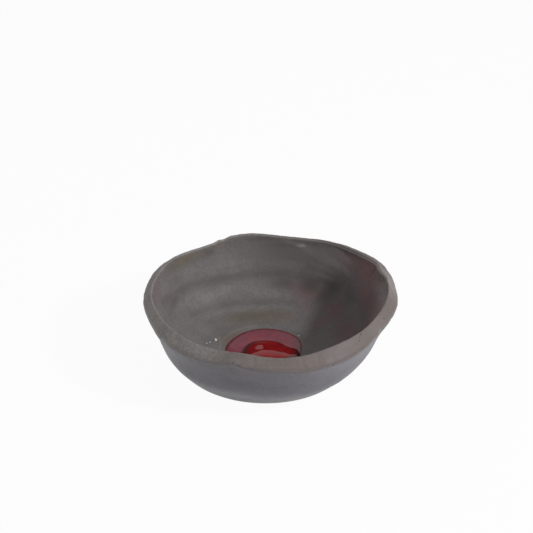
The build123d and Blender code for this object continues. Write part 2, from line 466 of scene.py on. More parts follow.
def patches(degrees, height, shares):
    """The strength of soft patches, each an azimuth, a height, two half sizes and a strength."""
    total = np.zeros(height.shape)
    for azimuth, share, wide, tall, strength in shares:
        near = bell(turn_to(degrees, azimuth), wide) * bell(height - share, tall)
        total = np.maximum(total, strength * near)
    return total


def near_mark(degrees, height, width, places, fade=7):
    """How near a height lies to a curve round the bowl, fading in some degrees past its ends."""
    at, shares = np.array(places, float).T
    turned = at[0] + (degrees - at[0] + fade) % 360 - fade
    curve = natural_spline(at, np.clip(turned, at[0], at[-1])) @ shares
    started = smooth_step(turned, at[0] - fade, at[0])
    ended = smooth_step(turned, at[-1], at[-1] + fade)
    return started * (1 - ended) * bell(height - curve, width)


def skin_normals(rings):
    """Outward normals at every point of a skin of rings."""
    along = np.roll(rings, -1, axis=1) - np.roll(rings, 1, axis=1)
    across = np.gradient(rings, axis=0)
    return unit(np.cross(along, across))


def closed_skin(name, start, rings, end, masks=None):
    """An object with a closed skin from a first point over rings of points to a last one."""
    count, around = rings.shape[:2]
    points = np.concatenate([[start], rings.reshape(-1, 3), [end]])
    index = np.arange(count * around).reshape(count, around) + 1
    ahead = np.roll(index, -1, axis=1)
    quads = np.stack([index[:-1], ahead[:-1], ahead[1:], index[1:]], axis=-1).reshape(-1, 4)
    last = len(points) - 1
    first_fan = [(0, b, a) for a, b in zip(index[0].tolist(), ahead[0].tolist())]
    last_fan = [(last, a, b) for a, b in zip(index[-1].tolist(), ahead[-1].tolist())]
    mesh = bpy.data.meshes.new(name)
    mesh.from_pydata(points.tolist(), [], [*quads.tolist(), *first_fan, *last_fan])
    for mask, values in (masks or {}).items():
        layer = mesh.attributes.new(mask, "FLOAT", "POINT")
        values = np.concatenate([values[0, :1], values.reshape(-1), values[-1, :1]])
        layer.data.foreach_set("value", values.astype(np.float32))
    mesh.shade_smooth()
    piece = bpy.data.objects.new(name, mesh)
    bpy.context.scene.collection.objects.link(piece)
    return piece


def new_group(name, inputs, outputs):
    """An empty shader node group with sockets of the kinds given, and its two end nodes."""
    group = bpy.data.node_groups.new(name, "ShaderNodeTree")
    for direction, sockets in (("INPUT", inputs), ("OUTPUT", outputs)):
        for socket, kind in sockets.items():
            group.interface.new_socket(socket, in_out=direction, socket_type=f"NodeSocket{kind}")
    start = group.nodes.new("NodeGroupInput")
    end = group.nodes.new("NodeGroupOutput")
    return group, start, end


def wire(tree, node_type, settings=None, **inputs):
    """A node with its settings, and its inputs linked to sockets or set to values.

    An input goes by its name, with _ for a space, or by _ and its number.
    """
    node = tree.nodes.new(node_type)
    for setting, value in (settings or {}).items():
        setattr(node, setting, value)
    for name, value in inputs.items():
        key = int(name[1:]) if name[1:].isdigit() else name.replace("_", " ")
        if isinstance(value, bpy.types.NodeSocket):
            tree.links.new(value, node.inputs[key])
        else:
            node.inputs[key].default_value = value
    return node


def maths(tree, operation, first, second):
    """The result of a Math node."""
    return wire(tree, "ShaderNodeMath", {"operation": operation}, _0=first, _1=second).outputs[0]


def mixed(tree, factor, first, second, blend="MIX"):
    """The result of mixing two colours."""
    settings = {"data_type": "RGBA", "blend_type": blend}
    node = wire(tree, "ShaderNodeMix", settings, _0=factor, _6=first, _7=second)
    return node.outputs[2]


def stretched(tree, value, low, high, to_low=0.0, to_high=1.0):
    """A value mapped from one range to another and kept inside it."""
    node = wire(tree, "ShaderNodeMapRange", None, _0=value, _1=low, _2=high)
    node.inputs[3].default_value = to_low
    node.inputs[4].default_value = to_high
    return node.outputs[0]


def mask_of(tree, name):
    """A mask that the mesh carries."""
    return wire(tree, "ShaderNodeAttribute", {"attribute_name": name}).outputs["Fac"]


def mottling_group():
    """Cloudy change of tone at two sizes, 0 to 1."""
    group, start, end = new_group(
        "Mottling", {"Cloud Size": "Float", "Grain Size": "Float"}, {"Cloud": "Float", "Grain": "Float"}
    )
    place = wire(group, "ShaderNodeTexCoord").outputs["Object"]
    for size, result, detail in (("Cloud Size", "Cloud", 4), ("Grain Size", "Grain", 2)):
        scale = maths(group, "DIVIDE", 1.0, start.outputs[size])
        texture = wire(
            group, "ShaderNodeTexNoise", None, Vector=place, Scale=scale, Detail=detail, Roughness=0.6
        )
        group.links.new(stretched(group, texture.outputs[0], 0.3, 0.7), end.inputs[result])
    return group


def burnish_group():
    """Fine marks that run round the bowl, as a rubbing stone leaves them, 0 to 1."""
    group, start, end = new_group("Burnish marks", {"Spacing": "Float"}, {"Marks": "Float"})
    place = wire(group, "ShaderNodeTexCoord").outputs["Object"]
    flat = wire(group, "ShaderNodeVectorMath", {"operation": "MULTIPLY"}, _0=place, _1=(1, 1, 0))
    facing = wire(group, "ShaderNodeVectorMath", {"operation": "NORMALIZE"}, _0=flat.outputs[0])
    height = wire(group, "ShaderNodeSeparateXYZ", None, Vector=place).outputs["Z"]
    fine = maths(group, "DIVIDE", height, start.outputs["Spacing"])
    up = wire(group, "ShaderNodeCombineXYZ", None, Z=fine).outputs[0]
    spot = wire(group, "ShaderNodeVectorMath", {"operation": "MULTIPLY_ADD"}, _0=facing.outputs[0])
    # How quickly the marks change on their way round the bowl.
    spot.inputs[1].default_value = (3.5, 3.5, 3.5)
    group.links.new(up, spot.inputs[2])
    texture = wire(
        group, "ShaderNodeTexNoise", None, Vector=spot.outputs[0], Scale=1.0, Detail=3.0, Roughness=0.6
    )
    group.links.new(stretched(group, texture.outputs[0], 0.32, 0.68), end.inputs["Marks"])
    return group


def pit_group():
    """A small round pit, 1 in its middle and 0 outside it."""
    group, start, end = new_group("Pit", {"Middle": "Vector", "Radius": "Float"}, {"Pit": "Float"})
    place = wire(group, "ShaderNodeTexCoord").outputs["Object"]
    settings = {"operation": "DISTANCE"}
    away = wire(group, "ShaderNodeVectorMath", settings, _0=place, _1=start.outputs["Middle"])
    reach = maths(group, "DIVIDE", away.outputs["Value"], start.outputs["Radius"])
    group.links.new(stretched(group, reach, 1.0, 0.4), end.inputs["Pit"])
    return group


def new_material(name):
    """A material with an empty node tree, its output and its main shader."""
    material = bpy.data.materials.new(name)
    material.use_nodes = True
    tree = material.node_tree
    tree.nodes.clear()
    output = tree.nodes.new("ShaderNodeOutputMaterial")
    shader = tree.nodes.new("ShaderNodeBsdfPrincipled")
    tree.links.new(shader.outputs[0], output.inputs["Surface"])
    return material, tree, shader


def pitted(tree, pits):
    """The mask of all pits together."""
    group = pit_group()
    total = 0.0
    for middle, radius in pits:
        pit = wire(tree, "ShaderNodeGroup", {"node_tree": group}, Radius=radius)
        pit.inputs["Middle"].default_value = middle
        total = maths(tree, "MAXIMUM", pit.outputs["Pit"], total)
    return total


def clay_material(clay, pits):
    """Burnished slip outside and inside, barer clay on the lip, stains with painted shade and light mixed
    in, rubbed marks, and pits darkened with painted shade.
    """
    material, tree, shader = new_material("Burnished slip")
    mottling = wire(tree, "ShaderNodeGroup", {"node_tree": mottling_group()})
    mottling.inputs["Cloud Size"].default_value = clay.cloud_size
    mottling.inputs["Grain Size"].default_value = clay.grain_size
    cloud = mottling.outputs["Cloud"]
    grain = mottling.outputs["Grain"]
    burnish = wire(tree, "ShaderNodeGroup", {"node_tree": burnish_group()}, Spacing=clay.mark_spacing)
    marks = burnish.outputs["Marks"]
    pit = pitted(tree, pits)
    band = mask_of(tree, "band")
    inside = mask_of(tree, "inside")

    tone = mixed(tree, inside, (*clay.outside, 1), (*clay.inside, 1))
    tone = mixed(tree, band, tone, (*clay.band, 1))
    ragged = maths(tree, "ADD", maths(tree, "MULTIPLY", cloud, 0.5), maths(tree, "MULTIPLY", grain, 0.5))
    ragged = stretched(tree, ragged, 0.2, 0.8, *RAGGED_SHARES)
    # The dark and pale masks carry painted shade and painted light as well as stains.
    for tone_kind in STAINS_AND_PAINTED_LIGHT:
        strength = maths(tree, "MULTIPLY", mask_of(tree, tone_kind), ragged)
        tone = mixed(tree, maths(tree, "MINIMUM", strength, 1.0), tone, (*getattr(clay, tone_kind), 1))
    # The clouds, burnish marks and grain are the slip's own tone; the pits' darkening is painted shade.
    shade = 1.0
    for change, (least, most) in zip((cloud, marks, grain, pit), SHADE_SHARES):
        shade = maths(tree, "MULTIPLY", stretched(tree, change, 0, 1, least, most), shade)
    shades = wire(tree, "ShaderNodeCombineColor", None, Red=shade, Green=shade, Blue=shade)
    tone = mixed(tree, 1.0, tone, shades.outputs[0], "MULTIPLY")
    tree.links.new(tone, shader.inputs["Base Color"])

    dull = maths(tree, "MULTIPLY", band, clay.band_roughness)
    dull = maths(tree, "MAXIMUM", dull, maths(tree, "MULTIPLY", inside, clay.inside_roughness))
    dull = maths(tree, "MAXIMUM", dull, clay.outside_roughness)
    change = stretched(tree, marks, 0, 1, -MARKS_ROUGHNESS, MARKS_ROUGHNESS)
    tree.links.new(maths(tree, "ADD", dull, change), shader.inputs["Roughness"])

    sunk = maths(tree, "MULTIPLY", pit, PIT_RELIEF_SHARE)
    relief = maths(tree, "SUBTRACT", maths(tree, "ADD", grain, marks), sunk)
    bump = wire(tree, "ShaderNodeBump", None, Height=relief, Strength=0.3, Distance=clay.relief)
    tree.links.new(bump.outputs[0], shader.inputs["Normal"])
    return material


def glass_material(name, tint, rim, roughness, clearness):
    """Glass that is stuck to the clay, a little deeper in swirls and of another tone at its side; on the
    lump that tone is painted shade.
    """
    material, tree, shader = new_material(name)
    place = wire(tree, "ShaderNodeTexCoord").outputs["Object"]
    swirls_per_metre = 130.0
    deep_share = 0.72
    swirl = wire(
        tree, "ShaderNodeTexNoise", None, Vector=place, Scale=swirls_per_metre, Detail=2.0, Distortion=1.0
    )
    deep = (*[part * deep_share for part in tint], 1)
    tone = mixed(tree, stretched(tree, swirl.outputs[0], 0.35, 0.65), deep, (*tint, 1))
    tone = mixed(tree, mask_of(tree, "side"), tone, (*rim, 1))
    tree.links.new(tone, shader.inputs["Base Color"])
    shader.inputs["Roughness"].default_value = roughness
    shader.inputs["IOR"].default_value = 1.5
    shader.inputs["Specular IOR Level"].default_value = 0.25
    shader.inputs["Transmission Weight"].default_value = clearness
    return material


class Section:
    """The clay's profile round the bowl, from the sizes of the panel."""

    # How many rows the parts of the profile have, and how many points guide the wall inside.
    side_rows = 90
    guide_rows = 400
    inner_rows = 150
    flat_rows = 14
    corner_rows = 7
    edge_rows = 8
    wall_points = 9
    # The rim's wear fades out over this many rows of the outer and of the inner side.
    side_wear_rows = 18
    inner_wear_rows = 16
    # Where the first row of the underside lies, as a share of the base, and where the side
    # leaves the base's rounding, as a share of its softness.
    first_row_share = 0.02
    side_start_share = 0.6
    # How uneven the crest is outwards and upwards, and the lip's edge outwards and upwards,
    # as shares of the lip's width, and the sizes of the coarse and the fine unevenness. The
    # fine one counts for less, and what counts as level makes wear mostly take clay away.
    uneven_shares = (0.020, 0.020, 0.030, 0.045)
    uneven_size = 5 * MM
    fine_uneven_size = 2.2 * MM
    fine_share = 0.6
    level_share = 0.5

    def __init__(self, clay, well, around):
        self.clay = clay
        self.well = well
        self.azimuths = np.arange(around) * 2 * pi / around
        self.degrees = np.degrees(self.azimuths)
        shares = round_spline(len(RIM_SHARES), around) @ np.array(RIM_SHARES)
        scales = (clay.mouth_width / 2, clay.rim_height, clay.lip_drop, clay.lip_width)
        reach, rise, drop, width = (shares * scales).T
        self.crest = np.stack([reach, rise], axis=-1)
        self.edge = self.crest + np.stack([width, -drop], axis=-1)
        self.foot = np.zeros_like(self.crest) + (clay.base_width / 2, 0)
        self.crest_wear, self.edge_wear = self.wear()

    def wear(self):
        """How far the crest and the lip's edge are out of place, by nicks and small unevenness."""
        shift = np.zeros((len(self.azimuths), 4))
        for azimuth, wide, *shares in NICK_SHARES:
            near = bell(turn_to(self.degrees, azimuth), wide)
            shift += near[:, None] * shares * self.clay.lip_width
        spots = np.column_stack([np.cos(self.azimuths), np.sin(self.azimuths), 0 * self.azimuths])
        spots = spots * self.clay.mouth_width / 2
        for column, depth in enumerate(self.uneven_shares):
            uneven = ripples(spots, self.uneven_size, 3.1 * column)
            uneven = uneven + self.fine_share * ripples(spots, self.fine_uneven_size, 7.7 * column)
            shift[:, column] += depth * self.clay.lip_width * (uneven - self.level_share)
        return shift[:, :2], shift[:, 2:]

    def outer(self, steps):
        """Rows up the outer side, from the base to where the lip's edge turns over."""
        span = self.edge - self.foot
        shares = np.array([(-SIDE_SHARES[0][0], -SIDE_SHARES[0][1]), (0, 0), *SIDE_SHARES])
        points = self.foot + span * shares[:, None, :]
        turn = self.edge + unit(points[-1] - self.edge) * self.clay.lip_softness
        points = np.concatenate([points, [turn]])
        places = spread(points.mean(axis=1))
        length_up = np.linalg.norm(np.diff(points.mean(axis=1), axis=0), axis=1).sum()
        stop = 1 - self.clay.lip_softness / length_up
        rows = natural_spline(places, np.linspace(places[1], stop, steps))
        return np.einsum("rk,kcd->rcd", rows, points)

    def inner(self, side, steps):
        """Rows down the inner side from the crest to the edge of the core."""
        well = self.well
        half = well.well_width / 2
        along = np.linspace(0, 1, len(side))
        core = np.zeros_like(self.crest) + (half / 2, well.floor + well.well_depth + well.floor_step)
        heel = core + (half / 2 + well.floor_run, well.floor_rise)
        directions = unit(np.gradient(side, axis=0))
        inward = np.stack([-directions[..., 1], directions[..., 0]], axis=-1)
        points = []
        for down in np.linspace(0, 1, self.wall_points):
            share = RINGS_TOP_SHARE + (RINGS_BOTTOM_SHARE - RINGS_TOP_SHARE) * down
            at = np.abs(along - share).argmin()
            wall = self.clay.wall + (self.clay.heel_wall - self.clay.wall) * down
            points.append(side[at] + inward[at] * wall)
        top = self.crest + unit(points[0] - self.crest) * 2 * self.clay.crest_softness
        points = np.array([top, *points, heel, core])
        places = spread(points.mean(axis=1))
        rows = natural_spline(places, np.linspace(0, 1, steps))
        return np.einsum("rk,kcd->rcd", rows, points)

    def rows(self):
        """All rows from the middle of the underside to the middle of the well, and where parts end."""
        clay = self.clay
        side = self.outer(self.side_rows)
        side = side[np.abs(side[:, 0, 1] - clay.base_softness * self.side_start_share).argmin() :]
        worn = smooth_step(np.arange(len(side)), len(side) - self.side_wear_rows, len(side))
        side = side + worn[:, None, None] * self.edge_wear
        inner = self.inner(self.outer(self.guide_rows), self.inner_rows)
        worn = 1 - smooth_step(np.arange(len(inner)), 0, self.inner_wear_rows)
        inner = inner + worn[:, None, None] * self.crest_wear
        edge = self.edge + self.edge_wear
        crest = self.crest + self.crest_wear
        base_start = self.foot - (clay.base_softness, 0)
        lip_start = edge + unit(crest - edge) * 2 * clay.lip_softness
        lip_end = crest + unit(edge - crest) * 2 * clay.crest_softness
        parts = {
            "base": straight(self.foot * self.first_row_share, base_start, self.flat_rows),
            "base corner": rounded(base_start, self.foot, side[0], self.corner_rows),
            "side": side,
            "edge": rounded(side[-1], edge, lip_start, self.edge_rows),
            "lip": straight(lip_start, lip_end, self.flat_rows),
            "crest": rounded(lip_end, crest, inner[0], self.corner_rows),
            "inner": inner,
            "core": straight(inner[-1], inner[-1] * (0, 1), self.flat_rows)[1:],
        }
        ends = dict(zip(parts, np.cumsum([len(part) for part in parts.values()])))
        return np.concatenate(list(parts.values())), ends


class BOWL_OT_clay_bowl(bpy.types.Operator):
    """Make the clay bowl, from its underside over the rim to the well"""

    bl_idname = "bowl.clay_bowl"
    bl_label = "Clay Bowl"

    around = 720
    # The masks of the lip and the inside start and end this many rows, or twice as many, off
    # the end of a part.
    overlap = 2
    # The pits are looked for above this many rows of the underside.
    rows_below_pits = 20
    # A height above all of the bowl, where the well must not cut the outside.
    out_of_reach = 1.0
    # Where the throwing rings end, and where they and the finger marks fade in and out, as
    # shares of the way down inside.
    rings_end_share = 0.72
    rings_in_share = (0.03, 0.15)
    rings_out_share = (0.66, 0.78)
    marks_in_share = (0.00, 0.04)
    marks_out_share = (0.74, 0.86)
    # How far the rings wander, in radians of their wave, and over what length.
    rings_wander = 0.9
    rings_wander_size = 45 * MM
    # How strong the finger marks are on average, how much that changes, and over what length.
    marks_strength = 0.75
    marks_change = 0.5
    marks_change_size = 14 * MM
    crease_depth = 0.45 * MM
    # Between these heights the dents start, and between these shares of the rim's height
    # they turn inwards, by this share of their depth. Inside they are weaker by a share.
    dents_start = (1.5 * MM, 8 * MM)
    inwards_from_share = (0.7, 0.85)
    inwards_share = 0.4
    weaker_inside_share = 0.5
    # The sizes of the large, small and fine dents, the depth of the large ones, the small
    # ones' share of it, and the depth of the fine ones all over and on top of that on the lip.
    dent_sizes = (16 * MM, 5 * MM, 2.6 * MM)
    dent_depth = 0.20 * MM
    small_dent_share = 0.4
    fine_dent_depth = 0.03 * MM
    lip_dent_depth = 0.05 * MM
    # The crest's pale line, a painted highlight where light catches the crest: its half width on
    # the mask of the inside, how strong it is on average, how much that changes, and over what length.
    crest_highlight_width = 0.30
    crest_highlight_strength = 0.7
    crest_highlight_change = 0.4
    crest_highlight_size = 6 * MM
    # How strongly painted shade darkens the hollows, and painted light lightens the ridges, the crest and
    # the foot.
    hollow_painted_shade_share = 0.35
    ridge_painted_light_share = 0.20
    crest_highlight_share = 0.90
    foot_painted_light_strength = 0.15
    foot_lit_side_share = 0.75
    # Where the underside ends and the foot's painted light, thrown up by the floor, fades upwards,
    # as shares of the rim's height, and the azimuth and the half width in degrees of its brightest
    # stretch, on the side the lamp lights.
    underside_share = 0.001
    foot_painted_light_share = (0.02, 0.26)
    foot_lit_side_at = 305
    foot_lit_side_width = 28

    def execute(self, context):
        clay = context.scene.bowl_clay
        well = context.scene.bowl_well
        section = Section(clay, well, self.around)
        rows, ends = section.rows()
        row = np.arange(len(rows))[:, None] + 0 * rows[..., 0]
        inside = smooth_step(row, ends["lip"] + 2 * self.overlap, ends["crest"] + self.overlap)
        down = np.clip((row - ends["crest"]) / (ends["inner"] - ends["crest"]), 0, 1)
        band = smooth_step(row, ends["side"] - self.overlap, ends["edge"] - self.overlap) * (1 - inside)
        rings = self.sink_well(section, rows, inside, well)
        share = rings[..., 2] / clay.rim_height
        lift, hollow, ridge = self.hand_marks(section, rings, share, down, inside)
        outer_lift = self.outer_unevenness(rings, share, band, inside)
        rings = rings + skin_normals(rings) * (lift + outer_lift)[..., None]
        masks = {"inside": inside, "band": band, **self.stains(section, rings, share, inside, band)}
        # Painted shade in the hollows of the finger marks and painted light on their ridges.
        masks["dark"] = np.maximum(masks["dark"], self.hollow_painted_shade_share * hollow)
        masks["pale"] = np.maximum(masks["pale"], self.ridge_painted_light_share * ridge)

        bowl = closed_skin("Bowl_clay", rings[0].mean(axis=0), rings, rings[-1].mean(axis=0), masks)
        bowl.data.materials.append(clay_material(clay, self.pits(section, rings, ends["lip"])))
        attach(bowl, "root")
        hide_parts("clay_bowl")
        return {"FINISHED"}

    def sink_well(self, section, rows, inside, well):
        """The points of all rows, with the round well sunk into the floor."""
        reach, height = rows[..., 0], rows[..., 1]
        x = reach * np.cos(section.azimuths)
        y = reach * np.sin(section.azimuths)
        half = well.well_width / 2
        from_well = np.hypot(x, y - well.well_shift)
        sphere = cap_radius(half, well.well_depth)
        dish = well.floor + cap_rise(sphere, np.minimum(from_well, half)) + np.maximum(from_well - half, 0)
        dish = np.where(inside > 0.5, dish, self.out_of_reach)
        return np.stack([x, y, soft_least(height, dish, well.ledge_softness)], axis=-1)

    def hand_marks(self, section, rings, share, down, inside):
        """The lift of throwing rings and finger marks inside, and where hollows and ridges lie."""
        clay = section.clay
        wander = self.rings_wander * ripples(rings, self.rings_wander_size, 3.7)
        turns = 2 * pi * clay.groove_count * down / self.rings_end_share + wander
        fade = smooth_step(down, *self.rings_in_share) * (1 - smooth_step(down, *self.rings_out_share))
        lift = -clay.groove_depth / 2 * np.cos(turns) * fade
        hollow = np.zeros(share.shape)
        ridge = np.zeros(share.shape)
        uneven = self.marks_strength + self.marks_change * ripples(rings, self.marks_change_size, 5.9)
        on_wall = inside * (1 - smooth_step(down, *self.marks_out_share))
        on_wall = on_wall * smooth_step(down, *self.marks_in_share)
        for lift_share, width_share, places in FINGER_MARK_SHARES:
            width = width_share * clay.wall / clay.rim_height
            near = near_mark(section.degrees, share, width, places) * uneven * on_wall
            lift = lift + lift_share * clay.groove_depth / 2 * near
            if lift_share < 0:
                hollow = np.maximum(hollow, near * -lift_share)
            else:
                ridge = np.maximum(ridge, near * lift_share)
        lift = lift - self.crease_depth * patches(section.degrees, share, CREASE_SHARES) * on_wall
        return lift, np.clip(hollow, 0, 1), np.clip(ridge, 0, 1)

    def outer_unevenness(self, rings, share, band, inside):
        """Small dents all over, mostly inwards near the rim, weaker inside and gone at the foot."""
        fade = smooth_step(rings[..., 2], *self.dents_start) * (1 - self.weaker_inside_share * inside)
        inwards = self.inwards_share * smooth_step(share, *self.inwards_from_share)
        large, small, tiny = self.dent_sizes
        broad = ripples(rings, large) + self.small_dent_share * ripples(rings, small, 5.3)
        fine = ripples(rings, tiny, 8.8)
        fine_depth = self.fine_dent_depth + self.lip_dent_depth * band
        return fade * (self.dent_depth * (broad - inwards) + fine_depth * (fine - inwards))

    def stains(self, section, rings, share, inside, band):
        """Masks of the four stains, with painted shade and light among them: shade under the lip, a
        highlight along the crest and light at the foot.
        """
        degrees = section.degrees
        masks = {}
        for tone_kind, (patch_shares, lip_shares) in STAINS_AND_PAINTED_LIGHT.items():
            masks[tone_kind] = patches(degrees, share, patch_shares) * inside * (1 - band)
            for azimuth, wide, strength in lip_shares:
                near = strength * bell(turn_to(degrees, azimuth), wide)
                masks[tone_kind] = np.maximum(masks[tone_kind], near * band)
        # The crest's pale line is a painted highlight; its strength changes along the crest.
        worn = self.crest_highlight_strength + self.crest_highlight_change * ripples(rings, self.crest_highlight_size, 1.9)
        crest_highlight = self.crest_highlight_share * bell(inside - 0.5, self.crest_highlight_width) * worn
        # A pale band at the foot is painted light thrown up by the floor, strongest on the lamp's side.
        outside = 1 - inside
        underside = share <= self.underside_share
        foot_painted_light = outside * (1 - smooth_step(share, *self.foot_painted_light_share)) * ~underside
        lit_side = bell(turn_to(degrees, self.foot_lit_side_at), self.foot_lit_side_width)
        foot_painted_light = foot_painted_light * (self.foot_painted_light_strength + self.foot_lit_side_share * lit_side)
        masks["pale"] = np.maximum.reduce([masks["pale"], crest_highlight, foot_painted_light])
        # Painted shade on the outside under the lip.
        under_lip_shade = patches(degrees, share, UNDER_LIP_SHADE_SHARES) * outside * (1 - band)
        masks["dark"] = np.maximum(masks["dark"], under_lip_shade)
        return masks

    def pits(self, section, rings, last_row):
        """The middles and the radii of the pits, each on the outer side or the lip."""
        clay = section.clay
        outer = rings[self.rows_below_pits : last_row]
        found = []
        for azimuth, height_share, radius_share in PIT_SHARES:
            column = outer[:, int(azimuth / 360 * self.around)]
            away = np.abs(column[:, 2] - height_share * clay.rim_height)
            found.append((tuple(column[away.argmin()]), radius_share * clay.wall))
        return found


def mound(name, outline, bed, dome, edge, sink=0.1 * MM, rows=40):
    """A rounded mass of glass inside an outline, on a bed and under a dome.

    bed and dome give a height for x and y. edge is how much of the way in its side is round,
    and the mask of its side fades out a little further in.
    """
    middle = outline.mean(axis=0)
    out = outline - middle
    under = np.linspace(0, 1, rows // 2)[1:-1]
    turn = np.linspace(0, pi / 2, rows // 2)
    over = np.concatenate([1 - edge * (1 - np.cos(turn)), np.linspace(1 - edge, 0, rows)[1:-1]])
    rise = np.concatenate([np.sin(turn), np.ones(rows - 2)])
    rings = []
    for share, up in [*((share, 0) for share in under), *zip(over, rise)]:
        spot = middle + out * share
        low = bed(*spot.T) - sink
        rings.append(np.column_stack([spot, low + (dome(*spot.T) - low) * up]))
    rings = np.array(rings)
    side_start = 1 - edge * 2.6
    side_full = 1.02
    side = np.concatenate([np.ones(len(under)), smooth_step(over, side_start, side_full)])
    masks = {"side": side[:, None] + 0 * rings[..., 0]}
    return closed_skin(name, rings[0].mean(axis=0), rings, rings[-1].mean(axis=0), masks)


class BOWL_OT_glass(bpy.types.Operator):
    """Make the thin pool of glass and the thick lump on it"""

    bl_idname = "bowl.glass"
    bl_label = "Glass"

    around = 180
    # How much of the way in each side is round, and how high and how long the waves on top are.
    film_round = 0.10
    film_wave = 0.06 * MM
    film_wave_size = 7 * MM
    lump_round = 0.15
    lump_wave = 0.07 * MM
    lump_wave_size = 5 * MM
    # The lump's top turns down in front of this place, as a share of its half depth. To the
    # right and to the left of these shares of its half width it does so further in front.
    roll_start_share = 0.06
    roll_right_share = 0.05
    roll_left_share = -0.10
    # How much faster that place moves forwards on the right than on the left.
    roll_right_growth = 1.3

    def execute(self, context):
        well = context.scene.bowl_well
        glass = context.scene.bowl_glass
        half = well.well_width / 2
        sphere = cap_radius(half, well.well_depth)
        film_radius = glass.film_width / 2
        film_rise = cap_rise(sphere, film_radius) + glass.film_edge - glass.film_thickness
        film_sphere = cap_radius(film_radius, film_rise)
        film_level = well.floor + glass.film_thickness

        def dish(x, y):
            return well.floor + cap_rise(sphere, np.minimum(np.hypot(x, y - well.well_shift), half))

        def film_top(x, y):
            reach = np.hypot(x, y - well.well_shift)
            spots = np.column_stack([x, y, 0 * x])
            waves = self.film_wave * ripples(spots, self.film_wave_size)
            return film_level + cap_rise(film_sphere, reach) + waves

        azimuths = np.arange(self.around) * 2 * pi / self.around
        reach = round_spline(len(FILM_SHARES), self.around) @ np.array(FILM_SHARES) * film_radius
        outline = np.column_stack([reach * np.cos(azimuths), reach * np.sin(azimuths) + well.well_shift])
        film = mound("Glass_film", outline, dish, film_top, self.film_round)
        tones = (glass.film_colour, glass.film_rim)
        film.data.materials.append(glass_material("Thin glass", *tones, roughness=0.12, clearness=0.15))
        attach(film, "root")
        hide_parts("glaze_film")

        shares = round_spline(len(LUMP_SHARES), self.around) @ np.array(LUMP_SHARES)
        outline = shares * (glass.lump_width / 2, glass.lump_depth / 2)
        outline = outline + (glass.lump_side, -glass.lump_front)
        lump = mound("Glass_lump", outline, film_top, self.lump_dome(glass, film_level), self.lump_round)
        tones = (glass.lump_colour, glass.lump_shaded_side)
        lump.data.materials.append(glass_material("Red glass", *tones, roughness=0.03, clearness=0.15))
        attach(lump, "root")
        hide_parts("glass_lump")
        return {"FINISHED"}

    def lump_dome(self, glass, film_level):
        """The lump's top, leaning back and swelling and sinking a little."""
        sphere = cap_radius(glass.lump_width / 2, glass.lump_sag)

        def dome(x, y):
            across = (x - glass.lump_side) / (glass.lump_width / 2)
            deep = (y + glass.lump_front) / (glass.lump_depth / 2)
            reach = np.hypot(x - glass.lump_side, y + glass.lump_front)
            top = film_level + glass.lump_height - cap_rise(sphere, reach) - glass.lump_lean / 2 * deep
            right = np.maximum(0, across - self.roll_right_share)
            left = np.maximum(0, self.roll_left_share - across)
            roll_start = self.roll_start_share + self.roll_right_growth * right**2 + left**2
            top = top - glass.lump_roll * np.maximum(0, -roll_start - deep) ** 2
            for at_across, at_deep, size, lift in SWELL_SHARES:
                away = np.hypot(across - at_across, (deep - at_deep) * glass.lump_depth / glass.lump_width)
                top = top + lift * glass.lump_height * bell(away, size)
            spots = np.column_stack([x, y, 0 * x])
            return top + self.lump_wave * ripples(spots, self.lump_wave_size, 2.3)

        return dome


class BOWL_OT_beads(bpy.types.Operator):
    """Make the drops of glass that lie on the floor beside the well"""

    bl_idname = "bowl.beads"
    bl_label = "Beads"

    around = 28
    rows = 16
    # How much of the way in a drop's side is round, its height as a share of its radius, and
    # how deep it is sunk in the clay.
    side_round = 0.9
    height_share = 1.2
    sink = 0.2 * MM
    # The clay under a drop is looked for from this height.
    look_from = 0.1

    def execute(self, context):
        well = context.scene.bowl_well
        glass = context.scene.bowl_glass
        clay = bpy.data.objects["Bowl_clay"]
        # The white of the drops is a painted glint.
        tones = (glass.bead_glint_colour, glass.bead_glint_colour)
        material = glass_material("White glint glass", *tones, roughness=0.12, clearness=0.1)
        azimuths = np.arange(self.around) * 2 * pi / self.around
        ring = np.column_stack([np.cos(azimuths), np.sin(azimuths)])
        for number, (x, y, width) in enumerate(BEAD_SHARES, 1):
            place = np.array([x, y]) * well.well_width / 2
            hit, spot, normal, _ = clay.ray_cast((*place, self.look_from), (0, 0, -1))
            if not hit:
                raise RuntimeError("a bead has no clay under it")
            radius = glass.bead_width * width / 2

            def bed(px, py):
                away = (px - place[0]) * normal.x + (py - place[1]) * normal.y
                return spot.z - away / normal.z

            def dome(px, py):
                return bed(px, py) + radius * self.height_share

            outline = place + ring * radius
            name = f"Glass_bead_{number}"
            bead = mound(name, outline, bed, dome, self.side_round, self.sink, self.rows)
            bead.data.materials.append(material)
            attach(bead, "root")
            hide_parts("glass_beads")
        return {"FINISHED"}


